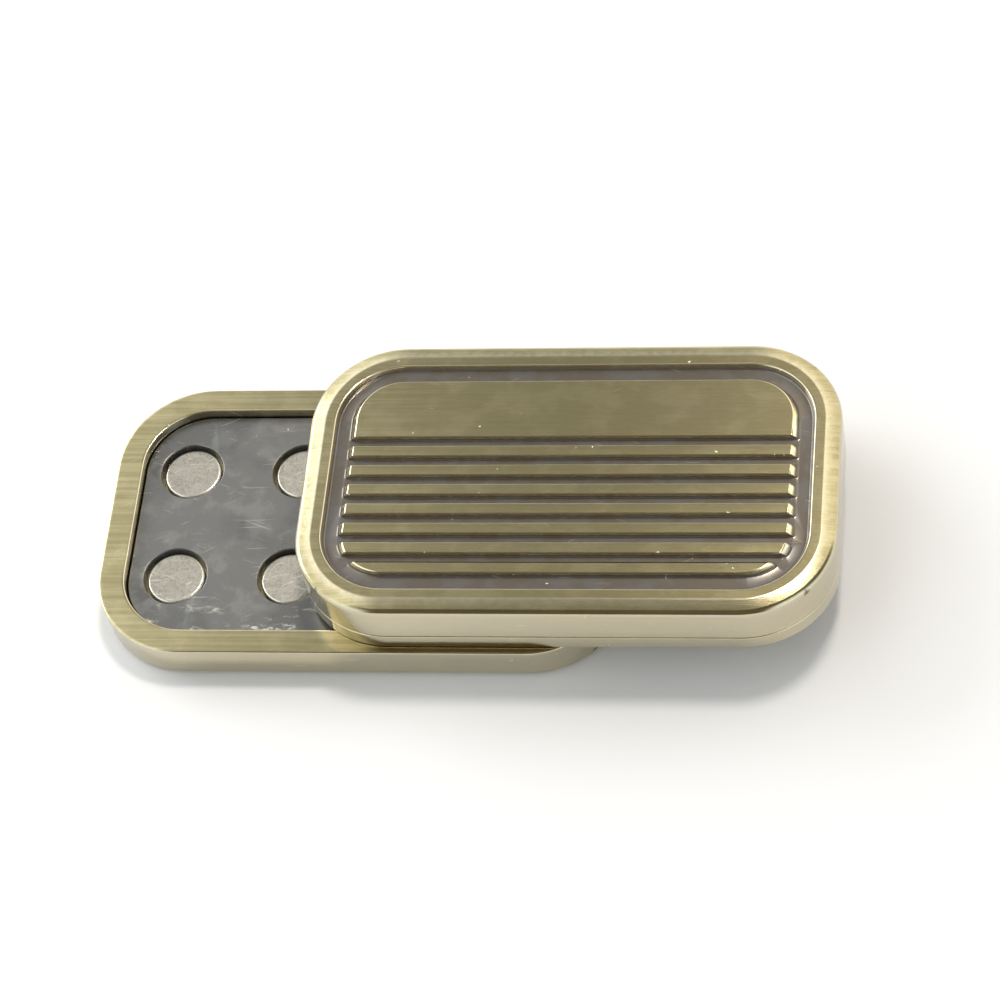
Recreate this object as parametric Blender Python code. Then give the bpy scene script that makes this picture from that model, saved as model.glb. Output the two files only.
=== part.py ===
"""A magnetic push slider: two ribbed metal halves that hold together by disc magnets and slide on each other."""

import math

import bmesh
import bpy

MM = 0.001

# Driving sizes, in millimetres. Each half is drawn in its own frame: the plane it slides on is z = 0,
# +z points out to its ribbed face, +x runs along it and +y goes towards its wide pad.

# Outline shared by both halves
BODY_LENGTH = 54.0
BODY_WIDTH = 32.0
CORNER_RADIUS = 9.4
EDGE_BREAK = 0.15

# Heights
LOWER_HEIGHT = 4.4
UPPER_HEIGHT = 6.7
FRAME_HEIGHT = 1.9
SEAM_GAP = 0.05
SEAM_BREAK = 0.1
SLIDE_GAP = 0.1
OPEN_OFFSET = 21.6
SIDE_OFFSET = 0.7

# Raised rim round the ribbed face
RIM_FLAT = 1.1
RIM_BEVEL = 0.95
RIM_BEVEL_DROP = 0.2
RIM_FILLET = 0.6
RIM_DRAFT = 0.25

# Raised pad and bars inside the rim
GROOVE_DEPTH = 0.7
SIDE_GROOVE = 2.2
END_GROOVE = 1.9
BAR_COUNT = 7
BAR_WIDTH = 1.2
BAR_GAP = 1.1
END_SLOPE = 0.6

# Recess in the sliding face, with the plate and the magnets that lie in it
RECESS_RIM = 2.65
RECESS_DEPTH = 1.05
PLATE_THICKNESS = 1.9
PLATE_CLEARANCE = 0.15
SEAT_CLEARANCE = 0.05
MAGNET_DIAMETER = 6.0
MAGNET_THICKNESS = 1.5
MAGNET_EDGE = 0.2
MAGNET_CLEARANCE = 0.3
INNER_COLUMN = 7.4
OUTER_COLUMN = 19.3
MAGNET_ROW = 6.4

# Facets
CORNER_STEPS = 10
FILLET_STEPS = 4
MAGNET_SIDES = 28

# Worked out from the driving sizes
RIM_WIDTH = RIM_FLAT + RIM_BEVEL + RIM_FILLET
FACE_LENGTH = BODY_LENGTH - 2 * RIM_WIDTH
FACE_WIDTH = BODY_WIDTH - 2 * RIM_WIDTH
FACE_RADIUS = CORNER_RADIUS - RIM_WIDTH
ISLAND_LENGTH = FACE_LENGTH - 2 * SIDE_GROOVE
ISLAND_WIDTH = FACE_WIDTH - 2 * END_GROOVE
ISLAND_RADIUS = FACE_RADIUS - SIDE_GROOVE
RECESS_LENGTH = BODY_LENGTH - 2 * RECESS_RIM
RECESS_WIDTH = BODY_WIDTH - 2 * RECESS_RIM
RECESS_RADIUS = CORNER_RADIUS - RECESS_RIM
CAVITY_DEPTH = RECESS_DEPTH + PLATE_THICKNESS + SEAT_CLEARANCE
OVERSHOOT = 1.0

BRASS = ("antique_brass", (0.36, 0.30, 0.16), 0.38, 1.0)
PATINA = ("dark_plate", (0.10, 0.10, 0.09), 0.45, 0.8)
NICKEL = ("magnet_nickel", (0.52, 0.50, 0.46), 0.35, 1.0)


def clear_scene():
    for obj in list(bpy.data.objects):
        bpy.data.objects.remove(obj, do_unlink=True)


def material(name, color, roughness, metallic):
    """The Principled material of this name, made the first time it is asked for."""
    found = bpy.data.materials.get(name)
    if found:
        return found
    made = bpy.data.materials.new(name)
    made.use_nodes = True
    shader = made.node_tree.nodes["Principled BSDF"]
    shader.inputs["Base Color"].default_value = (*color, 1.0)
    shader.inputs["Roughness"].default_value = roughness
    shader.inputs["Metallic"].default_value = metallic
    return made


def rounded_outline(length, width, radius):
    """Corner arcs of a rounded rectangle, anticlockwise, joined by its straight sides."""
    points = []
    for quarter in range(4):
        side_x = 1 if quarter in (0, 3) else -1
        side_y = 1 if quarter in (0, 1) else -1
        for step in range(CORNER_STEPS + 1):
            angle = (quarter + step / CORNER_STEPS) * math.pi / 2
            x = side_x * (length / 2 - radius) + radius * math.cos(angle)
            y = side_y * (width / 2 - radius) + radius * math.sin(angle)
            points.append((x, y))
    return points


def add_ring(bm, points, z):
    return [bm.verts.new((x * MM, y * MM, z * MM)) for x, y in points]


def add_stack(bm, outlines):
    """A closed solid through outlines of (length, width, radius, z), from the lowest to the highest."""
    rings = [add_ring(bm, rounded_outline(*size), z) for *size, z in outlines]
    for low, high in zip(rings, rings[1:]):
        for i in range(len(low)):
            j = (i + 1) % len(low)
            bm.faces.new((low[i], low[j], high[j], high[i]))
    bm.faces.new(rings[0][::-1])
    bm.faces.new(rings[-1])


def add_box(bm, low, high):
    made = bmesh.ops.create_cube(bm, size=1.0)["verts"]
    size = [(b - a) * MM for a, b in zip(low, high)]
    middle = [(b + a) / 2 * MM for a, b in zip(low, high)]
    bmesh.ops.scale(bm, verts=made, vec=size)
    bmesh.ops.translate(bm, verts=made, vec=middle)


def add_disc(bm, center, radius, low, high):
    made = bmesh.ops.create_cone(
        bm,
        cap_ends=True,
        segments=MAGNET_SIDES,
        radius1=radius * MM,
        radius2=radius * MM,
        depth=(high - low) * MM,
    )["verts"]
    middle = (center[0] * MM, center[1] * MM, (low + high) / 2 * MM)
    bmesh.ops.translate(bm, verts=made, vec=middle)
    return made


def finish(bm, name, parent, look=None, smooth_angle=35):
    """Turns the mesh into an object under its half. Without a look it is a cutter, which stays hidden."""
    bmesh.ops.recalc_face_normals(bm, faces=bm.faces)
    mesh = bpy.data.meshes.new(name)
    bm.to_mesh(mesh)
    bm.free()
    obj = bpy.data.objects.new(name, mesh)
    bpy.context.scene.collection.objects.link(obj)
    obj.parent = parent
    if look is None:
        obj.hide_render = True
        obj.display_type = "WIRE"
        return obj
    mesh.materials.append(material(*look))
    mesh.shade_smooth()
    mesh.set_sharp_from_angle(angle=math.radians(smooth_angle))
    return obj


def boolean(obj, operation, other):
    modifier = obj.modifiers.new(other.name, "BOOLEAN")
    modifier.operation = operation
    modifier.solver = "EXACT"
    modifier.object = other


def body_outline(inset, z):
    """The outside of the slider, drawn in by an inset."""
    return (
        BODY_LENGTH - 2 * inset,
        BODY_WIDTH - 2 * inset,
        CORNER_RADIUS - inset,
        z,
    )


def crown_outlines(height):
    """Wall top, rounded edge and sloped band of a ribbed face at this height."""
    arc_z = height - RIM_BEVEL_DROP - RIM_FILLET
    outlines = []
    for step in range(FILLET_STEPS + 1):
        angle = step / FILLET_STEPS * math.pi / 2
        inset = RIM_FILLET * (1 - math.cos(angle))
        outlines.append(body_outline(inset, arc_z + RIM_FILLET * math.sin(angle)))
    outlines.append(body_outline(RIM_FILLET + RIM_BEVEL, height))
    return outlines


def ribbed_island(name, half, height):
    """The pad and bars that stand in the rim: one block with sloped ends, cut across by the slots."""
    floor = height - GROOVE_DEPTH
    foot = floor - EDGE_BREAK
    slope = END_SLOPE * (height - foot) / GROOVE_DEPTH
    block = bmesh.new()
    add_stack(
        block,
        [
            (ISLAND_LENGTH + 2 * slope, ISLAND_WIDTH, ISLAND_RADIUS, foot),
            (ISLAND_LENGTH, ISLAND_WIDTH, ISLAND_RADIUS, height),
        ],
    )
    island = finish(block, f"{name}_island", half)

    slots = bmesh.new()
    for bar in range(BAR_COUNT):
        front = -ISLAND_WIDTH / 2 + BAR_WIDTH + bar * (BAR_WIDTH + BAR_GAP)
        add_box(
            slots,
            (-BODY_LENGTH / 2, front, floor),
            (BODY_LENGTH / 2, front + BAR_GAP, height + OVERSHOOT),
        )
    boolean(island, "DIFFERENCE", finish(slots, f"{name}_slots", half))
    return island


def face_pocket(name, half, height):
    """The sunk floor inside the rim, before the island is put back on it."""
    pocket = bmesh.new()
    growth = RIM_DRAFT * (GROOVE_DEPTH + OVERSHOOT) / GROOVE_DEPTH
    outlines = []
    for spread, z in ((0, height - GROOVE_DEPTH), (growth, height + OVERSHOOT)):
        inset = RIM_DRAFT - spread
        outlines.append(
            (
                FACE_LENGTH - 2 * inset,
                FACE_WIDTH - 2 * inset,
                FACE_RADIUS - inset,
                z,
            )
        )
    add_stack(pocket, outlines)
    return finish(pocket, f"{name}_pocket", half)


def recess_cutter(name, half, top):
    """The hollow that opens in the sliding face and takes the plate."""
    hollow = bmesh.new()
    recess = (RECESS_LENGTH, RECESS_WIDTH, RECESS_RADIUS)
    add_stack(hollow, [(*recess, -OVERSHOOT), (*recess, top)])
    return finish(hollow, f"{name}_recess", half)


def ribbed_shell(name, half, height, bottom, bottom_break):
    """A cast shell: walls up from its bottom edge, a rounded rim, and the pad and bars inside the rim."""
    body = bmesh.new()
    add_stack(
        body,
        [
            body_outline(bottom_break, bottom),
            body_outline(0, bottom + bottom_break),
            *crown_outlines(height),
        ],
    )
    shell = finish(body, name, half, BRASS)
    boolean(shell, "DIFFERENCE", face_pocket(name, half, height))
    boolean(shell, "DIFFERENCE", recess_cutter(name, half, CAVITY_DEPTH))
    boolean(shell, "UNION", ribbed_island(name, half, height))
    return shell


def edge_frame(name, half):
    """The separate rim that closes the thick half at its sliding face."""
    ring = bmesh.new()
    add_stack(
        ring,
        [
            body_outline(EDGE_BREAK, 0),
            body_outline(0, EDGE_BREAK),
            body_outline(0, FRAME_HEIGHT - SEAM_BREAK),
            body_outline(SEAM_BREAK, FRAME_HEIGHT),
        ],
    )
    frame = finish(ring, name, half, BRASS)
    boolean(frame, "DIFFERENCE", recess_cutter(name, half, FRAME_HEIGHT + OVERSHOOT))
    return frame


def magnet_centers():
    columns = (-OUTER_COLUMN, -INNER_COLUMN, INNER_COLUMN, OUTER_COLUMN)
    return [(x, y) for y in (MAGNET_ROW, -MAGNET_ROW) for x in columns]


def magnet_plate(name, half):
    """The dark plate on the floor of the recess, pierced for the magnets."""
    size = (
        RECESS_LENGTH - 2 * PLATE_CLEARANCE,
        RECESS_WIDTH - 2 * PLATE_CLEARANCE,
        RECESS_RADIUS - PLATE_CLEARANCE,
    )
    top = RECESS_DEPTH + PLATE_THICKNESS
    sheet = bmesh.new()
    add_stack(sheet, [(*size, RECESS_DEPTH), (*size, top)])
    plate = finish(sheet, name, half, PATINA)

    holes = bmesh.new()
    radius = MAGNET_DIAMETER / 2 + MAGNET_CLEARANCE
    for center in magnet_centers():
        add_disc(holes, center, radius, RECESS_DEPTH - OVERSHOOT, top + OVERSHOOT)
    boolean(plate, "DIFFERENCE", finish(holes, f"{name}_holes", half))
    return plate


def magnet(name, half, center):
    """One disc magnet, its two rims broken, seated on the floor of the cavity."""
    high = CAVITY_DEPTH - SEAT_CLEARANCE
    disc = bmesh.new()
    add_disc(disc, center, MAGNET_DIAMETER / 2, high - MAGNET_THICKNESS, high)
    rims = [e for e in disc.edges if len({round(f.normal.z) for f in e.link_faces}) > 1]
    bmesh.ops.bevel(
        disc,
        geom=rims,
        offset=MAGNET_EDGE * MM,
        segments=1,
        profile=0.5,
        affect="EDGES",
        material=-1,
    )
    return finish(disc, name, half, NICKEL)


def half_frame(name, side, z, turned):
    """The empty that carries one half, on the plane it slides on. A turned half faces down."""
    empty = bpy.data.objects.new(name, None)
    bpy.context.scene.collection.objects.link(empty)
    empty.location = (side * OPEN_OFFSET / 2 * MM, side * SIDE_OFFSET / 2 * MM, z * MM)
    empty.rotation_euler = (math.pi if turned else 0, 0, 0)
    return empty


def fill_half(name, half):
    """The plate and the magnets, which are the same in both halves."""
    magnet_plate(f"{name}_magnet_plate", half)
    for number, center in enumerate(magnet_centers(), 1):
        magnet(f"{name}_magnet_{number}", half, center)


def main():
    clear_scene()
    lower = half_frame("lower_half", -1, LOWER_HEIGHT, True)
    ribbed_shell("lower_shell", lower, LOWER_HEIGHT, 0, EDGE_BREAK)
    fill_half("lower", lower)

    upper = half_frame("upper_half", 1, LOWER_HEIGHT + SLIDE_GAP, False)
    seam = FRAME_HEIGHT + SEAM_GAP
    ribbed_shell("upper_shell", upper, UPPER_HEIGHT, seam, SEAM_BREAK)
    edge_frame("upper_edge_frame", upper)
    fill_half("upper", upper)


main()
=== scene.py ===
"""Looks of the magnetic push slider: two ribbed halves in antique brass, dark plates and disc magnets."""

import math

import bmesh
import bpy
from mathutils import Matrix, Vector


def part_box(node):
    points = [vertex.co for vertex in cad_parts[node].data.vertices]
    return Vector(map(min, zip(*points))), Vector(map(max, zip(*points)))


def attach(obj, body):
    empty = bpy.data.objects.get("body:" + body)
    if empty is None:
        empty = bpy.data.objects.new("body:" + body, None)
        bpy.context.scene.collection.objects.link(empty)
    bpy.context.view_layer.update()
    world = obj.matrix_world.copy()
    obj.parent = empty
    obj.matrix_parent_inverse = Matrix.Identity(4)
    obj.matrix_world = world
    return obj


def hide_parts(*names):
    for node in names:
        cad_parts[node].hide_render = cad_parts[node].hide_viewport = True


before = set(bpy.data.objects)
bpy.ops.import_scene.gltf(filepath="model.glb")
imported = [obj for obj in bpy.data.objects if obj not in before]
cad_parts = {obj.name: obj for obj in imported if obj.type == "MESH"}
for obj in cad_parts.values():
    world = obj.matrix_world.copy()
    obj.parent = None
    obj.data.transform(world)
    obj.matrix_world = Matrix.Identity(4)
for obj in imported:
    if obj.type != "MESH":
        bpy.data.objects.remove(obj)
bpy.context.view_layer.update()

bl_info = {
    "name": "Push Slider",
    "version": (1, 0, 0),
    "blender": (4, 5, 0),
    "location": "View3D > Sidebar > Slider",
    "description": "Builds a magnetic push slider in antique brass around its packed frame",
    "category": "Object",
}

MM = 0.001
HALVES = ("lower", "upper")
MAGNETS_PER_HALF = 8
NEAR = 0.001 * MM
ENLARGED = 1000
SMOOTH_ANGLE = math.radians(38)
RIB_EDGE_ANGLE = math.radians(25)
PLATE_EDGE_ANGLE = math.radians(60)
RIDGE_LANDING = 0.2 * MM
EDGE_LANDING = 0.22 * MM
PAST_PLATE = 0.05 * MM
DISH_DEPTH = 0.02 * MM
DISH_MARGIN = 0.15
DISH_SLOPE = 0.05
# How high up a bar's rounded edge the rub and its painted highlight begin, as a share of the groove depth.
BAR_RUB_AND_HIGHLIGHT_START = 0.5
PATINA_LIMIT = 1.2
# Width of the painted highlight ring on a magnet's rim, as a share of its rounding.
MAGNET_HIGHLIGHT_WIDTH = 0.9

FLOOR_SIZE = 3.0
FLOOR_DROP = 0.02 * MM
LIGHT_TARGET = (0, 0, 0.005)
WINDOW_PLACE = (-0.73, 0.39, 0.37)
WINDOW_SIZE = (0.62, 0.44)
WINDOW_COLOR = (0.93, 0.97, 1)
LAMP_PLACE = (0.11, 0.25, 0.76)
LAMP_SIZE = (0.13, 0.13)
LAMP_COLOR = (1, 0.93, 0.85)
ROOM_WALLS = (1.15, 1.2, 1.24, 1)
ROOM_CEILING = (0.17, 0.17, 0.165, 1)
ROOM_LEFT = (1.2, 1.21, 1.2, 1)
ROOM_BACK_RIGHT = (1.15, 1.1, 1.0, 1)
ROOM_FRONT = (1.3, 1.4, 1.5, 1)
BEHIND_CAMERA = (0.14, 0.115, 0.08, 1)
CAMERA_PLACE = (60.4, -187.1, 293.2)
CAMERA_YAW = math.radians(16.93)
CAMERA_PITCH = math.radians(55.64)
CAMERA_ROLL = math.radians(14.18)
SENSOR_WIDTH = 36.0


def length(name, description, millimetres):
    """A length property, given in millimetres."""
    return bpy.props.FloatProperty(
        name=name,
        description=description,
        default=millimetres * MM,
        min=0.0,
        unit="LENGTH",
        precision=5,
    )


def tint(name, description, color):
    """A colour property."""
    return bpy.props.FloatVectorProperty(
        name=name,
        description=description,
        default=color,
        min=0.0,
        max=1.0,
        subtype="COLOR",
    )


def share(name, description, value, highest=1.0):
    """A plain number from 0 to its highest value."""
    return bpy.props.FloatProperty(
        name=name, description=description, default=value, min=0.0, max=highest
    )


class SliderShape(bpy.types.PropertyGroup):
    """Sizes of the ribbed face, the sliding face and the pieces in its recess."""

    corner_radius: length("Corner radius", "Radius of the outline's corners", 9.4)
    corner_steps: bpy.props.IntProperty(
        name="Corner steps", description="Facets in each rounded corner", default=22, min=4
    )
    rim_fillet: length("Rim fillet", "Rounding between the wall and the rim", 0.62)
    rim_bevel: length("Rim bevel", "Width from the wall to the ridge", 1.55)
    bevel_drop: length("Bevel drop", "How far the sloped band falls from the ridge", 0.326)
    ridge_round: length("Ridge rounding", "Radius of the ridge between the two bands", 0.9)
    rim_width: length("Rim width", "Width from the wall to the inner edge", 2.65)
    rim_draft: length("Rim draft", "How far the inner wall leans in", 0.25)
    groove_depth: length("Groove depth", "Depth of the sunk floor", 0.7)
    side_groove: length("Side groove", "Floor width beside the bar ends", 2.2)
    end_groove: length("End groove", "Floor width behind the pad", 1.9)
    bar_count: bpy.props.IntProperty(
        name="Bars", description="Number of raised bars", default=7, min=1
    )
    bar_width: length("Bar width", "Width of a raised bar", 1.2)
    bar_gap: length("Bar gap", "Gap between two bars", 1.1)
    end_slope: length("End slope", "How far the bar ends slope out to the floor", 0.6)
    edge_round: length("Edge rounding", "Radius of the rubbed edges", 0.1)
    foot_round: length("Foot rounding", "Radius where a wall meets the sunk floor", 0.16)
    bottom_round: length("Bottom rounding", "Radius of the edge at the sliding face", 0.15)
    seam_round: length("Seam rounding", "Radius of the two edges at the seam", 0.1)
    recess_rim: length("Recess rim", "Width of the flat rim round the recess", 2.65)
    recess_draft: length("Recess draft", "How far the recess wall leans in", 0.12)
    plate_gap: length("Plate gap", "Gap between the dark plate and the recess wall", 0.05)
    plate_round: length("Plate rounding", "Radius of the edges of the dark plate", 0.12)
    hole_clearance: length("Hole clearance", "Gap between a magnet and its hole", 0.3)
    magnet_round: length("Magnet rounding", "Radius of the rims of a magnet", 0.3)
    magnet_steps: bpy.props.IntProperty(
        name="Magnet steps", description="Sides of a magnet and its hole", default=72, min=12
    )


class SliderFinish(bpy.types.PropertyGroup):
    """Colours, wear and painted highlights of the metals."""

    brass_pale: tint("Pale brass", "Brass where the brushing is bright", (0.72, 0.635, 0.37))
    brass_deep: tint("Deep brass", "Brass where the brushing is dull", (0.47, 0.41, 0.22))
    brass_wall: tint("Wall brass", "Paler brass of the side walls", (0.6, 0.55, 0.42))
    # Worn edges and painted highlight: this pale brass brightens the rounded edges where light catches
    # them.
    brass_rubbed_and_highlight: tint("Rubbed brass", "Brass on the rubbed edges", (0.93, 0.84, 0.58))
    patina_brown: tint("Brown patina", "Patina in the sunk floors", (0.21, 0.18, 0.145))
    patina_gray: tint("Gray patina", "Cooler patches of the patina", (0.225, 0.21, 0.19))
    plate_dark: tint("Dark plate", "Main colour of the plate", (0.18, 0.18, 0.173))
    plate_worn: tint("Worn plate", "Scuffed patches of the plate", (0.3, 0.295, 0.28))
    magnet_pale: tint("Pale nickel", "Bright grains of a magnet", (0.5, 0.48, 0.42))
    magnet_dull: tint("Dull nickel", "Dull grains of a magnet", (0.25, 0.237, 0.204))
    # Dust specks and marks, and also the painted highlight on the magnets' rims.
    dust_and_highlight_color: tint("Dust", "Colour of the specks", (0.86, 0.83, 0.73))
    grain_depth: share("Grain depth", "Strength of the brushed grain", 0.55)
    dust_amount: share("Dust amount", "How much of the faces the specks cover", 0.5)


class SliderStage(bpy.types.PropertyGroup):
    """Floor, light and camera."""

    floor_color: tint("Floor", "Colour of the floor", (0.93, 0.93, 0.93))
    room_light: share("Room light", "Strength of the light from all round", 1.0, 4.0)
    window_light: share("Window light", "Power of the window on the left, in watts", 3.9, 50.0)
    ceiling_light: share("Ceiling light", "Power of the lamp above, in watts", 2.3, 50.0)
    lens: bpy.props.FloatProperty(
        name="Lens", description="Focal length in millimetres", default=123.9, min=20.0
    )


def bend(corner, before, after, radius, steps):
    """Points of the round that takes the place of a corner between two straight stretches."""
    back = (before - corner).normalized()
    ahead = (after - corner).normalized()
    half = back.angle(ahead) / 2
    reach = radius / math.tan(half)
    center = corner + (back + ahead).normalized() * (radius / math.sin(half))
    start = corner + back * reach - center
    end = corner + ahead * reach - center
    turn = start.angle_signed(end)
    points = []
    for step in range(steps + 1):
        angle = -turn * step / steps
        spoke = Matrix.Rotation(angle, 2) @ start
        points.append(center + spoke)
    return points


def profile(corners, steps=5):
    """The points of a path through (inset, rise, radius, rub) corners, each rounded by its radius. The rub
    is wear and a painted highlight together.
    """
    points = []
    for i, (inset, rise, radius, rub_and_highlight) in enumerate(corners):
        corner = Vector((inset, rise))
        if not radius:
            points.append((corner, rub_and_highlight))
            continue
        before = Vector(corners[i - 1][:2])
        after = Vector(corners[i + 1][:2])
        points += [(point, rub_and_highlight) for point in bend(corner, before, after, radius, steps)]
    return points


def rounded_face(bm, size_x, size_y, radius, z, steps):
    """A flat face with rounded corners, centred on the origin."""
    corners = bmesh.ops.create_grid(bm, x_segments=1, y_segments=1, size=0.5)["verts"]
    bmesh.ops.scale(bm, verts=corners, vec=(size_x, size_y, 1))
    bmesh.ops.translate(bm, verts=corners, vec=(0, 0, z))
    rounded = bmesh.ops.bevel(
        bm,
        geom=corners,
        offset=radius,
        segments=steps,
        profile=0.5,
        affect="VERTICES",
        material=-1,
    )
    return rounded["verts"][0].link_faces[0]


def pull(bm, face, rise):
    """Extrudes a lone face into a closed block and gives the face at its far end."""
    grown = bmesh.ops.extrude_face_region(bm, geom=[face])["geom"]
    verts = [part for part in grown if isinstance(part, bmesh.types.BMVert)]
    bmesh.ops.translate(bm, verts=verts, vec=(0, 0, rise))
    far = next(part for part in grown if isinstance(part, bmesh.types.BMFace))
    bmesh.ops.recalc_face_normals(bm, faces=bm.faces)
    return far


def step_in(bm, face, points):
    """Steps a face in along a profile, one ring for each point, and marks each ring's rub, which is wear
    and a painted highlight together.
    """
    rub_and_highlight_layer = bm.verts.layers.float["rub_and_highlight"]
    at = Vector((0, 0))
    for point, rub_and_highlight in points:
        if (point - at).length > NEAR:
            bmesh.ops.inset_individual(
                bm,
                faces=[face],
                thickness=max(point.x - at.x, 0),
                depth=point.y - at.y,
                use_even_offset=True,
            )
            at = point
        for vert in face.verts:
            vert[rub_and_highlight_layer] = rub_and_highlight
    return face


def blank(shape, low, high, size_x, size_y):
    """A block with the slider's outline. Gives the mesh, its face below and its face above."""
    bm = bmesh.new()
    bm.verts.layers.float.new("rub_and_highlight")
    bm.verts.layers.float.new("patina")
    below = rounded_face(bm, size_x, size_y, shape.corner_radius, low, shape.corner_steps)
    above = pull(bm, below, high - low)
    return bm, below, above


def rim_profile(shape):
    """From the wall's top over the sloped band, the ridge and the flat band, and down to the sunk floor."""
    inner = shape.rim_width
    foot = inner + shape.rim_draft
    # The last number of each corner is its rub: worn brass and a painted highlight on the fillet, the ridge
    # and the inner edge.
    return profile(
        [
            (0, -2 * shape.rim_fillet, 0, 0),
            (0, -shape.bevel_drop, shape.rim_fillet, 0.25),
            (shape.rim_bevel, 0, shape.ridge_round, 0.6),
            (shape.rim_bevel + RIDGE_LANDING, 0, 0, 0),
            (inner - EDGE_LANDING, 0, 0, 0),
            (inner, 0, shape.edge_round, 1),
            (inner + 0.3 * shape.rim_draft, -0.3 * shape.groove_depth, 0, 0),
            (foot, -shape.groove_depth, shape.foot_round, 0),
            (foot + 2 * shape.foot_round, -shape.groove_depth, 0, 0),
        ]
    )


def rib_strips(shape, island_width):
    """(front, back) of each raised strip, None where the strip keeps the island's own outline."""
    pitch = shape.bar_width + shape.bar_gap
    strips = []
    for bar in range(shape.bar_count):
        front = -island_width / 2 + bar * pitch
        strips.append((front if bar else None, front + shape.bar_width))
    strips.append((-island_width / 2 + shape.bar_count * pitch, None))
    return strips


def cut(bm, y, side):
    """Cuts the mesh off at a plane across y, on the side that the sign gives, and closes it."""
    geometry = bm.verts[:] + bm.edges[:] + bm.faces[:]
    edges = bmesh.ops.bisect_plane(
        bm,
        geom=geometry,
        dist=NEAR,
        plane_co=(0, y, 0),
        plane_no=(0, side, 0),
        clear_outer=True,
    )["geom_cut"]
    edges = [part for part in edges if isinstance(part, bmesh.types.BMEdge)]
    bmesh.ops.edgeloop_fill(bm, edges=edges)


def rib(shape, island, height, front, back):
    """One raised bar, or the pad: a strip of the island, open at its foot, with rubbed edges that also
    carry a painted highlight.
    """
    size_x, size_y, radius = island
    floor = height - shape.groove_depth
    bm = bmesh.new()
    rub_and_highlight_layer = bm.verts.layers.float.new("rub_and_highlight")
    bm.verts.layers.float.new("patina")
    top = rounded_face(bm, size_x, size_y, radius, height, shape.corner_steps)
    foot = pull(bm, top, -shape.groove_depth)
    for side in (-1, 1):
        ends = [vert for vert in foot.verts if vert.co.x * side > 0]
        bmesh.ops.translate(bm, verts=ends, vec=(side * shape.end_slope, 0, 0))
    if front is not None:
        cut(bm, front, -1)
    if back is not None:
        cut(bm, back, 1)
    sunk = [face for face in bm.faces if all(abs(v.co.z - floor) < NEAR for v in face.verts)]
    bmesh.ops.delete(bm, geom=sunk, context="FACES_ONLY")
    bmesh.ops.recalc_face_normals(bm, faces=bm.faces)
    sharp = [
        edge
        for edge in bm.edges
        if edge.is_manifold and edge.calc_face_angle() > RIB_EDGE_ANGLE
    ]
    rounded = bmesh.ops.bevel(
        bm,
        geom=sharp,
        offset=shape.edge_round,
        segments=3,
        profile=0.5,
        affect="EDGES",
        material=-1,
    )
    # The rounded edges get the rub mark, which is worn brass and a painted highlight.
    for vert in rounded["verts"]:
        if floor + BAR_RUB_AND_HIGHLIGHT_START * shape.groove_depth < vert.co.z < height - NEAR:
            vert[rub_and_highlight_layer] = 1
    bmesh.ops.remove_doubles(bm, verts=bm.verts, dist=NEAR)
    return bm


def join(bm, other):
    """Adds another mesh to this one."""
    mesh = bpy.data.meshes.new("joined")
    other.to_mesh(mesh)
    other.free()
    bm.from_mesh(mesh)
    bpy.data.meshes.remove(mesh)


def fill_between(bm, edges):
    """A flat face between an outline and the holes in it. The fill needs a mesh that isn't tiny."""
    bmesh.ops.scale(bm, verts=bm.verts, vec=(ENLARGED, ENLARGED, ENLARGED))
    bmesh.ops.triangle_fill(bm, use_beauty=True, edges=edges, normal=(0, 0, 1))
    bmesh.ops.scale(bm, verts=bm.verts, vec=(1 / ENLARGED, 1 / ENLARGED, 1 / ENLARGED))


def fill_floor(bm, foot_round):
    """Closes the sunk floor round the feet of the ribs and rounds each foot."""
    open_edges = [edge for edge in bm.edges if edge.is_boundary]
    feet = [edge for edge in open_edges if edge.link_faces[0].normal.z < 0.99]
    fill_between(bm, open_edges)
    bmesh.ops.bevel(
        bm,
        geom=feet,
        offset=foot_round,
        segments=3,
        profile=0.5,
        affect="EDGES",
        material=-1,
        clamp_overlap=True,
    )


def mark_patina(bm, shape, height, half_length, half_width):
    """Patina grows with the depth below the ribbed face, inside the rim."""
    layer = bm.verts.layers.float["patina"]
    reach_x = half_length - shape.rim_width
    reach_y = half_width - shape.rim_width
    for vert in bm.verts:
        depth = (height - vert.co.z) / shape.groove_depth
        inside = abs(vert.co.x) < reach_x and abs(vert.co.y) < reach_y
        if inside and depth < PATINA_LIMIT:
            vert[layer] = min(max(depth, 0), 1)


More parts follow.
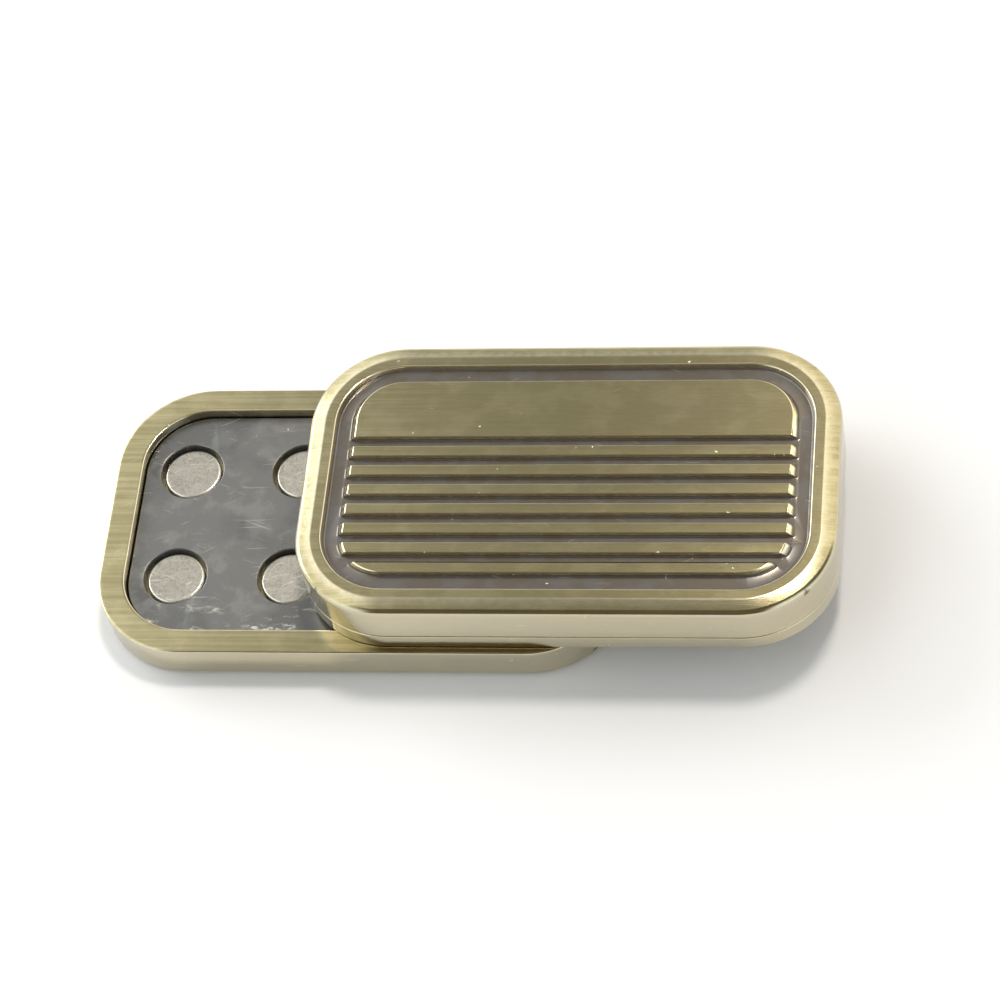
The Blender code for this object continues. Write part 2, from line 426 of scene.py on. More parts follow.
def ribbed_shell(shape, half):
    """A half's shell: its walls, the rim, the pad and bars on the sunk floor, and the hollow below."""
    low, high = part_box(f"{half}_shell")
    plane = high.z if half == "lower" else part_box("upper_edge_frame")[0].z
    height = high.z - low.z if half == "lower" else high.z - plane
    bottom = 0 if half == "lower" else low.z - plane
    size_x = high.x - low.x
    size_y = high.y - low.y
    bottom_round = shape.bottom_round if half == "lower" else shape.seam_round
    bm, below, above = blank(
        shape, bottom + 2 * bottom_round, height - 2 * shape.rim_fillet, size_x, size_y
    )
    rim = rim_profile(shape)
    rim = [(point + Vector((0, 2 * shape.rim_fillet)), rub_and_highlight) for point, rub_and_highlight in rim]
    floor = step_in(bm, above, rim)

    cavity = cavity_depth(half) - bottom
    wall = shape.recess_rim
    # The rub values paint worn brass and a highlight on the bottom edge and on the recess edge.
    under = profile(
        [
            (0, -2 * bottom_round, 0, 0),
            (0, 0, bottom_round, 0.4),
            (2 * bottom_round, 0, 0, 0),
            (wall - 2 * bottom_round, 0, 0, 0),
            (wall, 0, 0.8 * bottom_round, 0.7),
            (wall + shape.recess_draft, -0.6 * cavity, 0, 0),
            (wall + shape.recess_draft, -cavity, 0, 0),
        ],
        steps=4,
    )
    under = [(point + Vector((0, 2 * bottom_round)), rub_and_highlight) for point, rub_and_highlight in under]
    step_in(bm, below, under)

    bmesh.ops.delete(bm, geom=[floor], context="FACES_ONLY")
    face_x = size_x - 2 * shape.rim_width
    face_y = size_y - 2 * shape.rim_width
    island = (
        face_x - 2 * shape.side_groove,
        face_y - 2 * shape.end_groove,
        shape.corner_radius - shape.rim_width - shape.side_groove,
    )
    for front, back in rib_strips(shape, island[1]):
        join(bm, rib(shape, island, height, front, back))
    fill_floor(bm, shape.foot_round)
    mark_patina(bm, shape, height, size_x / 2, size_y / 2)
    return bm


def cavity_depth(half):
    """How deep the hollow under a shell is, from the sliding plane to just past the plate."""
    low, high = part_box(f"{half}_magnet_plate")
    if half == "lower":
        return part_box("lower_shell")[1].z - low.z + PAST_PLATE
    return high.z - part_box("upper_edge_frame")[0].z + PAST_PLATE


def edge_frame(shape):
    """The separate rim that closes the thick half at its sliding face."""
    low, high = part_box("upper_edge_frame")
    height = high.z - low.z
    size_x = high.x - low.x
    size_y = high.y - low.y
    start = 2 * shape.bottom_round
    stop = height - 2 * shape.seam_round
    bm, below, above = blank(shape, start, stop, size_x, size_y)
    wall = shape.recess_rim
    # The rub values paint worn brass and a highlight on the seam edge, the bottom edge and the recess edge.
    over = profile(
        [
            (0, 0, 0, 0),
            (0, height - stop, shape.seam_round, 0.4),
            (wall, height - stop, 0, 0),
        ],
        steps=4,
    )
    under = profile(
        [
            (0, 0, 0, 0),
            (0, start, shape.bottom_round, 0.4),
            (wall - 2 * shape.bottom_round, start, 0, 0),
            (wall, start, 0.8 * shape.bottom_round, 0.7),
            (wall, start - 0.4 * height, 0, 0),
        ],
        steps=4,
    )
    inner = [step_in(bm, above, over), step_in(bm, below, under)]
    edges = [edge for face in inner for edge in face.edges]
    bmesh.ops.delete(bm, geom=inner, context="FACES_ONLY")
    bmesh.ops.bridge_loops(bm, edges=edges)
    return bm


def to_row(half):
    """The matrix from a half's own frame, sliding plane at z 0 and ribbed face up, to the row frame."""
    low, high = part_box(f"{half}_shell")
    middle = (low + high) / 2
    if half == "lower":
        turned = Matrix.Rotation(math.pi, 4, "X")
        return Matrix.Translation((middle.x, middle.y, high.z)) @ turned
    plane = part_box("upper_edge_frame")[0].z
    return Matrix.Translation((middle.x, middle.y, plane))


def magnet_plate(shape, half):
    """The dark plate on the floor of the recess, pierced for the magnets."""
    back = to_row(half).inverted()
    low, high = (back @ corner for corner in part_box(f"{half}_magnet_plate"))
    front, rear = sorted((low.z, high.z))
    shell_low, shell_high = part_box(f"{half}_shell")
    inset = shape.recess_rim + shape.recess_draft + shape.plate_gap
    bm = bmesh.new()
    sheet = rounded_face(
        bm,
        shell_high.x - shell_low.x - 2 * inset,
        shell_high.y - shell_low.y - 2 * inset,
        shape.corner_radius - inset,
        front,
        shape.corner_steps,
    )
    bmesh.ops.delete(bm, geom=[sheet], context="FACES_ONLY")
    for number in range(1, MAGNETS_PER_HALF + 1):
        ends = [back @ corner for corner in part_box(f"{half}_magnet_{number}")]
        middle = (ends[0] + ends[1]) / 2
        radius = abs(ends[1].x - ends[0].x) / 2 + shape.hole_clearance
        bmesh.ops.create_circle(
            bm,
            segments=shape.magnet_steps,
            radius=radius,
            matrix=Matrix.Translation((middle.x, middle.y, front)),
        )
    fill_between(bm, bm.edges[:])
    grown = bmesh.ops.extrude_face_region(bm, geom=bm.faces[:])["geom"]
    verts = [part for part in grown if isinstance(part, bmesh.types.BMVert)]
    bmesh.ops.translate(bm, verts=verts, vec=(0, 0, rear - front))
    bmesh.ops.recalc_face_normals(bm, faces=bm.faces)
    rims = [
        edge
        for edge in bm.edges
        if edge.calc_face_angle(0) > PLATE_EDGE_ANGLE
        and all(abs(vert.co.z - front) < NEAR for vert in edge.verts)
    ]
    bmesh.ops.bevel(
        bm,
        geom=rims,
        offset=shape.plate_round,
        segments=3,
        profile=0.5,
        affect="EDGES",
        material=-1,
    )
    return bm


def magnet(shape, half, number):
    """One disc magnet with rounded rims, a shallow dish in its face and its rims marked for a painted
    highlight.
    """
    back = to_row(half).inverted()
    low, high = (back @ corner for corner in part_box(f"{half}_magnet_{number}"))
    middle = (low + high) / 2
    radius = abs(high.x - low.x) / 2
    depth = abs(high.z - low.z)
    bm = bmesh.new()
    circle = bmesh.ops.create_circle(
        bm,
        cap_ends=True,
        segments=shape.magnet_steps,
        radius=radius,
        matrix=Matrix.Translation((middle.x, middle.y, middle.z - depth / 2)),
    )["verts"]
    front = max(circle[0].link_faces, key=lambda face: len(face.verts))
    rear = pull(bm, front, depth)
    rims = [*front.edges, *rear.edges]
    bmesh.ops.bevel(
        bm,
        geom=rims,
        offset=shape.magnet_round,
        segments=4,
        profile=0.5,
        affect="EDGES",
        material=-1,
    )
    faces = sorted(bm.faces, key=lambda face: face.calc_area())[-2:]
    for face in faces:
        bmesh.ops.inset_individual(bm, faces=[face], thickness=DISH_MARGIN * radius)
        bmesh.ops.inset_individual(
            bm, faces=[face], thickness=DISH_SLOPE * radius, depth=-DISH_DEPTH
        )
    # The rims are marked for a pale ring of painted highlight.
    rub_and_highlight_layer = bm.verts.layers.float.new("rub_and_highlight")
    for vert in bm.verts:
        reach = math.hypot(vert.co.x - middle.x, vert.co.y - middle.y)
        vert[rub_and_highlight_layer] = float(reach > radius - MAGNET_HIGHLIGHT_WIDTH * shape.magnet_round)
    return bm


def put(bm, name, half, node, material):
    """Makes the finished piece, in place, stands it for its CAD node and lets it ride on its half."""
    bmesh.ops.transform(bm, matrix=to_row(half), verts=bm.verts)
    bmesh.ops.recalc_face_normals(bm, faces=bm.faces)
    mesh = bpy.data.meshes.new(name)
    bm.to_mesh(mesh)
    bm.free()
    mesh.shade_smooth()
    mesh.set_sharp_from_angle(angle=SMOOTH_ANGLE)
    mesh.materials.append(material)
    piece = bpy.data.objects.new(name, mesh)
    bpy.context.scene.collection.objects.link(piece)
    weighted = piece.modifiers.new("Even normals", "WEIGHTED_NORMAL")
    weighted.weight = 100
    weighted.keep_sharp = True
    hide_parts(node)
    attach(piece, f"{half}_half")


def add(tree, kind, inputs=None, **settings):
    """A shader node with its settings, its values and its links."""
    made = tree.nodes.new(kind)
    for key, value in settings.items():
        setattr(made, key, value)
    for key, value in (inputs or {}).items():
        if isinstance(value, bpy.types.NodeSocket):
            tree.links.new(value, made.inputs[key])
        else:
            made.inputs[key].default_value = value
    return made


def effect(name, inputs, outputs):
    """An empty shader node group with the named inputs and outputs. Gives its tree and both ends."""
    tree = bpy.data.node_groups.new(name, "ShaderNodeTree")
    for label, kind, value in inputs:
        socket = tree.interface.new_socket(label, in_out="INPUT", socket_type=kind)
        socket.default_value = value
    for label, kind in outputs:
        tree.interface.new_socket(label, in_out="OUTPUT", socket_type=kind)
    start = tree.nodes.new("NodeGroupInput")
    end = tree.nodes.new("NodeGroupOutput")
    return tree, start.outputs, end.inputs


def place(tree, name, inputs=None):
    """A node group in a material, with its own values. Gives its outputs."""
    return add(tree, "ShaderNodeGroup", inputs, node_tree=bpy.data.node_groups[name]).outputs


def math_node(tree, operation, *values):
    """The result of a Math node."""
    return add(tree, "ShaderNodeMath", dict(enumerate(values)), operation=operation).outputs[0]


def blend_value(tree, factor, low, high):
    """A value between two others."""
    inputs = {0: factor, 2: low, 3: high}
    return add(tree, "ShaderNodeMix", inputs, data_type="FLOAT").outputs[0]


def blend_color(tree, factor, low, high):
    """A colour between two others."""
    inputs = {0: factor, 6: low, 7: high}
    return add(tree, "ShaderNodeMix", inputs, data_type="RGBA").outputs[2]


def spread(tree, value, low, high):
    """0 at low and 1 at high, with a smooth ramp between them."""
    inputs = {"Value": value, "From Min": low, "From Max": high}
    return add(tree, "ShaderNodeMapRange", inputs, interpolation_type="SMOOTHSTEP").outputs[0]


def rgba(color):
    """A colour with full alpha."""
    return (*color, 1.0)


def streaks(tree, position, scale, detail):
    """Noise drawn out by its own scale along each axis."""
    mapped = add(tree, "ShaderNodeMapping", {"Vector": position, "Scale": scale})
    inputs = {"Vector": mapped.outputs[0], "Scale": 1.0, "Detail": detail, "Roughness": 0.6}
    return add(tree, "ShaderNodeTexNoise", inputs).outputs[0]


def brushed_grain_effect():
    """Brush marks along the length on flat faces, and round the slider on its walls."""
    tree, start, end = effect(
        "Brushed Grain",
        [("Fineness", "NodeSocketFloat", 1.0)],
        [("Height", "NodeSocketFloat"), ("Tone", "NodeSocketFloat"), ("Flat", "NodeSocketFloat")],
    )
    place_on = add(tree, "ShaderNodeTexCoord").outputs["Object"]
    scaled = add(
        tree, "ShaderNodeVectorMath", {0: place_on, "Scale": start["Fineness"]}, operation="SCALE"
    ).outputs[0]
    facing = add(tree, "ShaderNodeNewGeometry").outputs["True Normal"]
    up = add(tree, "ShaderNodeSeparateXYZ", {0: facing}).outputs["Z"]
    flat = spread(tree, math_node(tree, "ABSOLUTE", up), 0.55, 0.8)
    fine_flat = streaks(tree, scaled, (140, 14000, 140), 3)
    fine_wall = streaks(tree, scaled, (110, 110, 14000), 3)
    broad_flat = streaks(tree, scaled, (45, 2200, 45), 4)
    broad_wall = streaks(tree, scaled, (35, 35, 2600), 4)
    fine = blend_value(tree, flat, fine_wall, fine_flat)
    broad = blend_value(tree, flat, broad_wall, broad_flat)
    height = blend_value(tree, 0.35, fine, broad)
    tree.links.new(height, end["Height"])
    tree.links.new(spread(tree, broad, 0.33, 0.67), end["Tone"])
    tree.links.new(flat, end["Flat"])


def specks_effect():
    """Scattered pale specks of dust and lint."""
    tree, start, end = effect(
        "Dust Specks",
        [("Density", "NodeSocketFloat", 600.0), ("Amount", "NodeSocketFloat", 0.5)],
        [("Mask", "NodeSocketFloat")],
    )
    place_on = add(tree, "ShaderNodeTexCoord").outputs["Object"]
    wobble = add(tree, "ShaderNodeTexNoise", {"Vector": place_on, "Scale": 2600.0, "Detail": 2.0})
    bent = add(
        tree,
        "ShaderNodeVectorMath",
        {0: wobble.outputs["Color"], 1: (0.0009, 0.0005, 0.0005), 2: place_on},
        operation="MULTIPLY_ADD",
    ).outputs[0]
    cells = add(tree, "ShaderNodeTexVoronoi", {"Vector": bent, "Scale": start["Density"]})
    where = add(tree, "ShaderNodeSeparateXYZ", {0: cells.outputs["Color"]}).outputs
    few = math_node(tree, "MULTIPLY", start["Amount"], 0.3)
    chosen = math_node(tree, "LESS_THAN", where["X"], few)
    size = math_node(tree, "MULTIPLY_ADD", where["Y"], 0.13, 0.04)
    core = math_node(tree, "SUBTRACT", size, cells.outputs["Distance"])
    shape = spread(tree, core, 0.0, 0.08)
    cloud = add(tree, "ShaderNodeTexNoise", {"Vector": place_on, "Scale": 170.0, "Detail": 2.0})
    gathered = spread(tree, cloud.outputs[0], 0.46, 0.56)
    single = math_node(tree, "MULTIPLY", shape, chosen)
    tree.links.new(math_node(tree, "MULTIPLY", single, gathered), end["Mask"])


def scratches_effect():
    """Short hairline scratches in three directions."""
    tree, start, end = effect(
        "Hairline Scratches",
        [("Density", "NodeSocketFloat", 4000.0), ("Cover", "NodeSocketFloat", 0.3)],
        [("Mask", "NodeSocketFloat")],
    )
    place_on = add(tree, "ShaderNodeTexCoord").outputs["Object"]
    low = math_node(tree, "SUBTRACT", 1.0, start["Cover"])
    high = math_node(tree, "ADD", low, 0.07)
    lines = []
    for angle, stretch in ((0.04, 22), (0.5, 14), (-0.35, 16)):
        turned = add(
            tree,
            "ShaderNodeMapping",
            {"Vector": place_on, "Rotation": (0, 0, angle), "Scale": (stretch, 1, 4)},
            vector_type="TEXTURE",
        ).outputs[0]
        noise = add(
            tree, "ShaderNodeTexNoise", {"Vector": turned, "Scale": start["Density"], "Detail": 1.0}
        ).outputs[0]
        lines.append(spread(tree, noise, low, high))
    both = math_node(tree, "MAXIMUM", lines[0], lines[1])
    tree.links.new(math_node(tree, "MAXIMUM", both, lines[2]), end["Mask"])


def patches_effect():
    """Soft blotches of wear, with ragged borders."""
    tree, start, end = effect(
        "Worn Patches",
        [("Scale", "NodeSocketFloat", 200.0), ("Cover", "NodeSocketFloat", 0.5)],
        [("Mask", "NodeSocketFloat")],
    )
    place_on = add(tree, "ShaderNodeTexCoord").outputs["Object"]
    noise = add(
        tree,
        "ShaderNodeTexNoise",
        {"Vector": place_on, "Scale": start["Scale"], "Detail": 6.0, "Roughness": 0.62},
    ).outputs[0]
    edge = math_node(tree, "SUBTRACT", 1.0, start["Cover"])
    low = math_node(tree, "SUBTRACT", edge, 0.08)
    high = math_node(tree, "ADD", edge, 0.08)
    tree.links.new(spread(tree, noise, low, high), end["Mask"])


def front_scuffs_effect():
    """White scuffs along the front of the recess, where the halves rub and dirt collects."""
    tree, start, end = effect(
        "Front Scuffs",
        [("Start", "NodeSocketFloat", -0.009), ("Stop", "NodeSocketFloat", -0.013)],
        [("Mask", "NodeSocketFloat")],
    )
    place_on = add(tree, "ShaderNodeTexCoord").outputs["Object"]
    y = add(tree, "ShaderNodeSeparateXYZ", {0: place_on}).outputs["Y"]
    near = spread(tree, y, start["Start"], start["Stop"])
    cloud = streaks(tree, place_on, (260, 800, 260), 3)
    grit = streaks(tree, place_on, (1600, 3600, 1600), 3)
    clumps = spread(tree, cloud, 0.5, 0.7)
    flecks = spread(tree, grit, 0.46, 0.62)
    found = math_node(tree, "MULTIPLY", clumps, flecks)
    tree.links.new(math_node(tree, "MULTIPLY", found, near), end["Mask"])


def marked_wear_and_highlight_effect():
    """Reads how rubbed and how patinated a point is, and breaks both up along the grain. The rub is worn
    brass and a painted highlight together.
    """
    tree, start, end = effect(
        "Marked Wear And Highlight",
        [("Breakup", "NodeSocketFloat", 0.4)],
        [("Rub_and_highlight", "NodeSocketFloat"), ("Patina", "NodeSocketFloat")],
    )
    place_on = add(tree, "ShaderNodeTexCoord").outputs["Object"]
    noise = add(
        tree, "ShaderNodeTexNoise", {"Vector": place_on, "Scale": 1500.0, "Detail": 4.0}
    ).outputs[0]
    loss = math_node(tree, "MULTIPLY", math_node(tree, "SUBTRACT", noise, 0.5), start["Breakup"])
    for label in ("Rub_and_highlight", "Patina"):
        value = add(tree, "ShaderNodeAttribute", attribute_name=label.lower()).outputs["Fac"]
        ragged = math_node(tree, "ADD", value, loss)
        tree.links.new(spread(tree, ragged, 0.25, 0.8), end[label])


def new_material(name):
    """A material with its Principled shader. Gives the material, its tree and the shader's inputs."""
    made = bpy.data.materials.new(name)
    made.use_nodes = True
    tree = made.node_tree
    return made, tree, tree.nodes["Principled BSDF"].inputs


def bump(tree, height, distance, strength, below=None):
    """The normal bent by a height, on top of the one below it."""
    inputs = {"Height": height, "Distance": distance, "Strength": strength}
    if below:
        inputs["Normal"] = below
    return add(tree, "ShaderNodeBump", inputs).outputs[0]


def antique_brass(finish):
    """Brushed brass, patina in the sunk floors, edges rubbed bright with a painted highlight, and a little
    dust.
    """
    made, tree, shader = new_material("brushed_brass")
    grain = place(tree, "Brushed Grain", {"Fineness": 1.0})
    wear_and_highlight = place(tree, "Marked Wear And Highlight", {"Breakup": 0.35})
    blotch = place(tree, "Worn Patches", {"Scale": 260.0, "Cover": 0.46})["Mask"]
    cool = place(tree, "Worn Patches", {"Scale": 420.0, "Cover": 0.5})["Mask"]
    specks = place(tree, "Dust Specks", {"Density": 1200.0, "Amount": finish.dust_amount})["Mask"]
    scratch = place(tree, "Hairline Scratches", {"Density": 5000.0, "Cover": 0.27})["Mask"]

    tone = blend_value(tree, 0.3, grain["Tone"], blotch)
    face = blend_color(tree, tone, rgba(finish.brass_deep), rgba(finish.brass_pale))
    side = blend_color(tree, math_node(tree, "MULTIPLY", tone, 0.35), rgba(finish.brass_wall), face)
    brass = blend_color(tree, grain["Flat"], side, face)
    floor = blend_color(tree, cool, rgba(finish.patina_brown), rgba(finish.patina_gray))
    color = blend_color(tree, wear_and_highlight["Patina"], brass, floor)
    # Rubbed edges: real wear and a painted highlight, in pale brass.
    color = blend_color(tree, wear_and_highlight["Rub_and_highlight"], color, rgba(finish.brass_rubbed_and_highlight))
    thin = math_node(tree, "MULTIPLY", scratch, 0.35)
    color = blend_color(tree, thin, color, rgba(finish.brass_rubbed_and_highlight))
    color = blend_color(tree, specks, color, rgba(finish.dust_and_highlight_color))
    tree.links.new(color, shader["Base Color"])

    rough = blend_value(tree, grain["Tone"], 0.19, 0.15)
    rough = blend_value(tree, wear_and_highlight["Patina"], rough, 0.2)
    rough = blend_value(tree, wear_and_highlight["Rub_and_highlight"], rough, 0.15)
    tree.links.new(blend_value(tree, specks, rough, 0.7), shader["Roughness"])
    metal = blend_value(tree, wear_and_highlight["Patina"], 1.0, 0.65)
    tree.links.new(blend_value(tree, specks, metal, 0.1), shader["Metallic"])
    sharpness = blend_value(tree, wear_and_highlight["Patina"], finish.grain_depth, 0.25 * finish.grain_depth)
    brushed = bump(tree, grain["Height"], 0.000012, sharpness)
    dusty = bump(tree, specks, 0.00004, 0.5, brushed)
    tree.links.new(dusty, shader["Normal"])
    shader["Coat Weight"].default_value = 0.12
    shader["Coat Roughness"].default_value = 0.12
    return made


def dark_plate(finish):
    """A dark half-gloss plate with scuffs, hairlines and dust."""
    made, tree, shader = new_material("scuffed_plate")
    scuff = place(tree, "Worn Patches", {"Scale": 330.0, "Cover": 0.44})["Mask"]
    haze = place(tree, "Worn Patches", {"Scale": 90.0, "Cover": 0.5})["Mask"]
    scratch = place(tree, "Hairline Scratches", {"Density": 3500.0, "Cover": 0.31})["Mask"]
    sparse = 0.4 * finish.dust_amount
    specks = place(tree, "Dust Specks", {"Density": 1200.0, "Amount": sparse})["Mask"]
    grain = place(tree, "Brushed Grain", {"Fineness": 0.8})
    color = blend_color(
        tree, math_node(tree, "MULTIPLY", scuff, 0.4), rgba(finish.plate_dark), rgba(finish.plate_worn)
    )
    edge = place(tree, "Front Scuffs", {"Start": -0.0088, "Stop": -0.0125})["Mask"]
    edge = math_node(tree, "MULTIPLY", edge, 0.7)
    hairlines = math_node(tree, "MULTIPLY", scratch, 0.16)
    marks = math_node(tree, "MAXIMUM", math_node(tree, "MAXIMUM", hairlines, edge), specks)
    color = blend_color(tree, marks, color, rgba(finish.dust_and_highlight_color))
    tree.links.new(color, shader["Base Color"])
    rough = blend_value(tree, haze, 0.26, 0.36)
    tree.links.new(blend_value(tree, marks, rough, 0.6), shader["Roughness"])
    tree.links.new(blend_value(tree, marks, 0.7, 0.2), shader["Metallic"])
    brushed = bump(tree, grain["Height"], 0.000006, 0.4)
    tree.links.new(bump(tree, scuff, 0.00001, 0.3, brushed), shader["Normal"])
    shader["Coat Weight"].default_value = 0.25
    shader["Coat Roughness"].default_value = 0.15
    return made


def magnet_nickel(finish):
    """Dull nickel with a coarse mottled grain and a painted highlight round its rims."""
    made, tree, shader = new_material("mottled_nickel")
    place_on = add(tree, "ShaderNodeTexCoord").outputs["Object"]
    grit = add(
        tree,
        "ShaderNodeTexNoise",
        {"Vector": place_on, "Scale": 3800.0, "Detail": 5.0, "Roughness": 0.7},
    ).outputs[0]
    mottle = place(tree, "Worn Patches", {"Scale": 700.0, "Cover": 0.5})["Mask"]
    scratch = place(tree, "Hairline Scratches", {"Density": 6000.0, "Cover": 0.3})["Mask"]
    wear_and_highlight = place(tree, "Marked Wear And Highlight", {"Breakup": 0.3})
    mixed = blend_value(tree, 0.35, spread(tree, grit, 0.36, 0.64), mottle)
    color = blend_color(tree, mixed, rgba(finish.magnet_dull), rgba(finish.magnet_pale))
    # Painted highlight: a pale ring on the rounded rims.
    color = blend_color(tree, wear_and_highlight["Rub_and_highlight"], color, rgba(finish.dust_and_highlight_color))
    color = blend_color(
        tree, math_node(tree, "MULTIPLY", scratch, 0.5), color, rgba(finish.dust_and_highlight_color)
    )
    tree.links.new(color, shader["Base Color"])
    rough = blend_value(tree, mixed, 0.5, 0.3)
    tree.links.new(blend_value(tree, wear_and_highlight["Rub_and_highlight"], rough, 0.22), shader["Roughness"])
    tree.links.new(bump(tree, grit, 0.00003, 0.4), shader["Normal"])
    shader["Metallic"].default_value = 0.9
    return made


def matte_floor(color):
    """Plain pale paper."""
    made, tree, shader = new_material("pale_floor")
    place_on = add(tree, "ShaderNodeTexCoord").outputs["Object"]
    fibres = add(tree, "ShaderNodeTexNoise", {"Vector": place_on, "Scale": 900.0, "Detail": 3.0})
    shader["Base Color"].default_value = rgba(color)
    shader["Roughness"].default_value = 0.9
    shader["Specular IOR Level"].default_value = 0.2
    tree.links.new(bump(tree, fibres.outputs[0], 0.00002, 0.2), shader["Normal"])
    return made


def finish_named(name):
    """The material of this name, which the metals operator made."""
    found = bpy.data.materials.get(name)
    if found is None:
        raise RuntimeError("make the metals first")
    return found


class SLIDER_OT_metals(bpy.types.Operator):
    """Make the brass, plate and nickel finishes and the effects that they share"""

    bl_idname = "slider.metals"
    bl_label = "Metals"

    def execute(self, context):
        brushed_grain_effect()
        specks_effect()
        scratches_effect()
        patches_effect()
        front_scuffs_effect()
        marked_wear_and_highlight_effect()
        finish = context.scene.slider_finish
        antique_brass(finish)
        dark_plate(finish)
        magnet_nickel(finish)
        return {"FINISHED"}


class SLIDER_OT_shells(bpy.types.Operator):
    """Add the ribbed shells of both halves"""

    bl_idname = "slider.shells"
    bl_label = "Ribbed Shells"

    def execute(self, context):
        shape = context.scene.slider_shape
        brass = finish_named("brushed_brass")
        for half in HALVES:
            bm = ribbed_shell(shape, half)
            put(bm, f"{half}_ribbed_shell", half, f"{half}_shell", brass)
        return {"FINISHED"}


class SLIDER_OT_edge_frame(bpy.types.Operator):
    """Add the separate edge frame of the thick half"""

    bl_idname = "slider.edge_frame"
    bl_label = "Edge Frame"

    def execute(self, context):
        brass = finish_named("brushed_brass")
        bm = edge_frame(context.scene.slider_shape)
        put(bm, "upper_brushed_frame", "upper", "upper_edge_frame", brass)
        return {"FINISHED"}


class SLIDER_OT_plates(bpy.types.Operator):
    """Add the dark plates that hold the magnets"""

    bl_idname = "slider.plates"
    bl_label = "Magnet Plates"

    def execute(self, context):
        dark = finish_named("scuffed_plate")
        for half in HALVES:
            bm = magnet_plate(context.scene.slider_shape, half)
            put(bm, f"{half}_recess_plate", half, f"{half}_magnet_plate", dark)
        return {"FINISHED"}


class SLIDER_OT_magnets(bpy.types.Operator):
    """Add the disc magnets of both halves"""

    bl_idname = "slider.magnets"
    bl_label = "Disc Magnets"

    def execute(self, context):
        nickel = finish_named("mottled_nickel")
        for half in HALVES:
            for number in range(1, MAGNETS_PER_HALF + 1):
                bm = magnet(context.scene.slider_shape, half, number)
                node = f"{half}_magnet_{number}"
                put(bm, f"{half}_disc_{number}", half, node, nickel)
        return {"FINISHED"}


def add_floor(color):
    """A wide pale floor under the slider."""
    bm = bmesh.new()
    bmesh.ops.create_grid(bm, x_segments=1, y_segments=1, size=FLOOR_SIZE)
    mesh = bpy.data.meshes.new("floor")
    bm.to_mesh(mesh)
    bm.free()
    mesh.materials.append(matte_floor(color))
    floor = bpy.data.objects.new("floor", mesh)
    floor.location.z = -FLOOR_DROP
    bpy.context.scene.collection.objects.link(floor)


def add_light(name, shape, place_at, size, power, color):
    """A flat light of the given shape and size that faces the slider."""
    light = bpy.data.lights.new(name, "AREA")
    light.shape = shape
    light.size, light.size_y = size
    light.energy = power
    light.color = color
    lamp = bpy.data.objects.new(name, light)
    lamp.location = place_at
    lamp.rotation_euler = (Vector(LIGHT_TARGET) - Vector(place_at)).to_track_quat("-Z", "Y").to_euler()
    bpy.context.scene.collection.objects.link(lamp)


def add_room(strength):
    """Soft light from all round: white walls, a dark ceiling and a dark wall behind the camera."""
    world = bpy.data.worlds.new("room")
    world.use_nodes = True
    bpy.context.scene.world = world
    tree = world.node_tree
    toward = add(tree, "ShaderNodeTexCoord").outputs["Generated"]
    parts = add(tree, "ShaderNodeSeparateXYZ", {0: toward}).outputs
    ceiling = spread(tree, parts["Z"], 0.15, 0.65)
    left = spread(tree, parts["X"], -0.14, -0.36)
    right = spread(tree, parts["X"], -0.12, 0.04)
    back = spread(tree, parts["Y"], 0.33, 0.46)
    front = spread(tree, parts["Y"], -0.1, -0.5)
    middle = spread(tree, math_node(tree, "ABSOLUTE", parts["X"]), 0.55, 0.3)
    behind_camera = math_node(tree, "MULTIPLY", middle, spread(tree, parts["Y"], 0.0, -0.2))
    color = blend_color(tree, ceiling, ROOM_WALLS, ROOM_CEILING)
    color = blend_color(tree, left, color, ROOM_LEFT)
    color = blend_color(tree, math_node(tree, "MULTIPLY", right, back), color, ROOM_BACK_RIGHT)
    color = blend_color(tree, front, color, ROOM_FRONT)
    color = blend_color(tree, behind_camera, color, BEHIND_CAMERA)
    background = tree.nodes["Background"]
    tree.links.new(color, background.inputs["Color"])
    background.inputs["Strength"].default_value = strength


def add_camera(lens):
    """A camera above the front right of the slider, looking down on it and a little rolled."""
    place_at = Vector(CAMERA_PLACE) * MM
    turn = Matrix.Rotation(CAMERA_YAW, 4, "Z")
    turn = turn @ Matrix.Rotation(math.pi / 2 - CAMERA_PITCH, 4, "X")
    turn = turn @ Matrix.Rotation(-CAMERA_ROLL, 4, "Z")
    data = bpy.data.cameras.new("camera")
    data.lens = lens
    data.sensor_width = SENSOR_WIDTH
    data.clip_start = 0.01
    data.clip_end = 20.0
    camera = bpy.data.objects.new("camera", data)
    camera.matrix_world = Matrix.Translation(place_at) @ turn
    bpy.context.scene.collection.objects.link(camera)
    bpy.context.scene.camera = camera


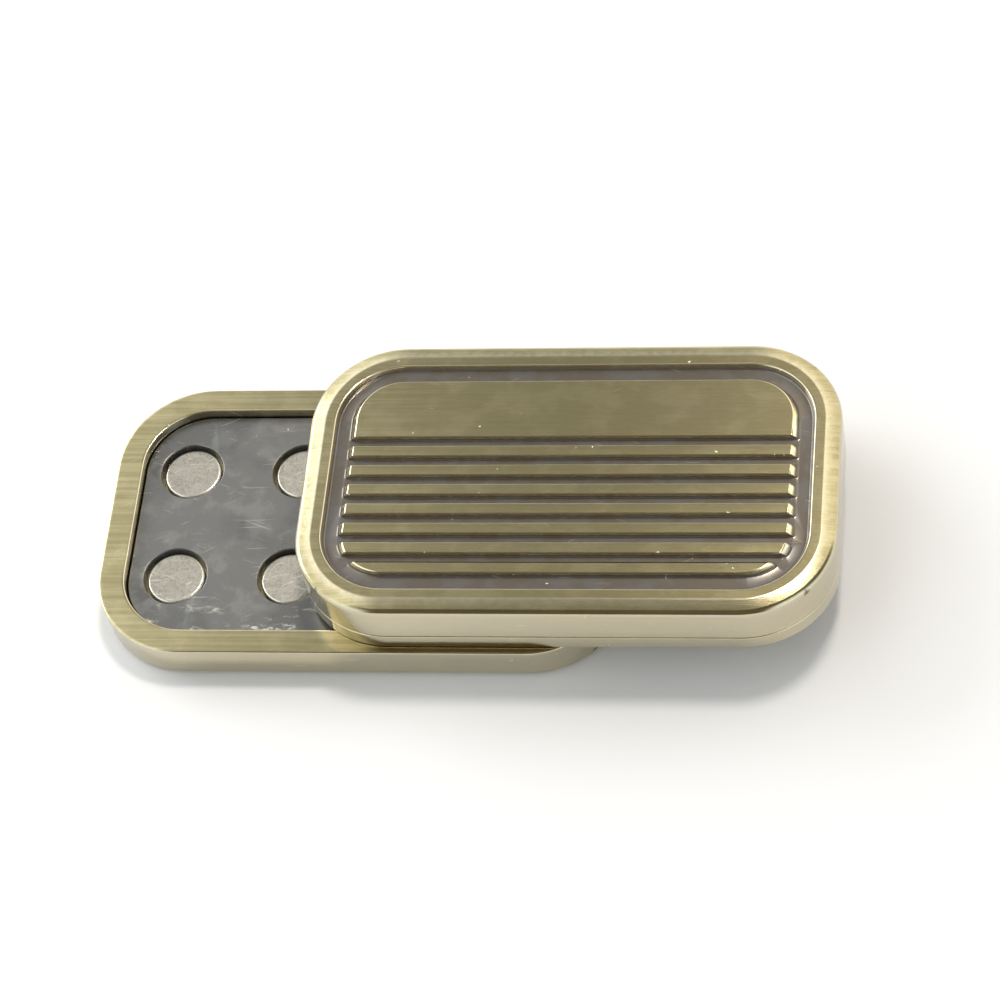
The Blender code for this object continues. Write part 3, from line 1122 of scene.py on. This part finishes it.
class SLIDER_OT_stage(bpy.types.Operator):
    """Add the floor, the light and the camera"""

    bl_idname = "slider.stage"
    bl_label = "Stage"

    def execute(self, context):
        stage = context.scene.slider_stage
        context.scene.view_settings.view_transform = "Standard"
        add_floor(stage.floor_color)
        add_room(stage.room_light)
        add_light("window", "RECTANGLE", WINDOW_PLACE, WINDOW_SIZE, stage.window_light, WINDOW_COLOR)
        add_light("ceiling", "DISK", LAMP_PLACE, LAMP_SIZE, stage.ceiling_light, LAMP_COLOR)
        add_camera(stage.lens)
        return {"FINISHED"}


class SLIDER_PT_panel(bpy.types.Panel):
    """Everything that builds the slider"""

    bl_idname = "SLIDER_PT_panel"
    bl_label = "Push Slider"
    bl_space_type = "VIEW_3D"
    bl_region_type = "UI"
    bl_category = "Slider"

    def draw(self, context):
        for operator in OPERATORS:
            self.layout.operator(operator.bl_idname)
        scene = context.scene
        for group in (scene.slider_shape, scene.slider_finish, scene.slider_stage):
            box = self.layout.box()
            for name in group.__annotations__:
                box.prop(group, name)


OPERATORS = (
    SLIDER_OT_metals,
    SLIDER_OT_shells,
    SLIDER_OT_edge_frame,
    SLIDER_OT_plates,
    SLIDER_OT_magnets,
    SLIDER_OT_stage,
)
CLASSES = (SliderShape, SliderFinish, SliderStage, *OPERATORS, SLIDER_PT_panel)


def register():
    """Registers the classes and the scene's settings."""
    for made in CLASSES:
        bpy.utils.register_class(made)
    bpy.types.Scene.slider_shape = bpy.props.PointerProperty(type=SliderShape)
    bpy.types.Scene.slider_finish = bpy.props.PointerProperty(type=SliderFinish)
    bpy.types.Scene.slider_stage = bpy.props.PointerProperty(type=SliderStage)


def unregister():
    """Removes the settings and the classes."""
    del bpy.types.Scene.slider_stage
    del bpy.types.Scene.slider_finish
    del bpy.types.Scene.slider_shape
    for made in reversed(CLASSES):
        bpy.utils.unregister_class(made)


def main():
    """Builds the slider and its stage."""
    register()
    bpy.ops.slider.metals()
    bpy.ops.slider.shells()
    bpy.ops.slider.edge_frame()
    bpy.ops.slider.plates()
    bpy.ops.slider.magnets()
    bpy.ops.slider.stage()


if __name__ == "__main__":
    main()
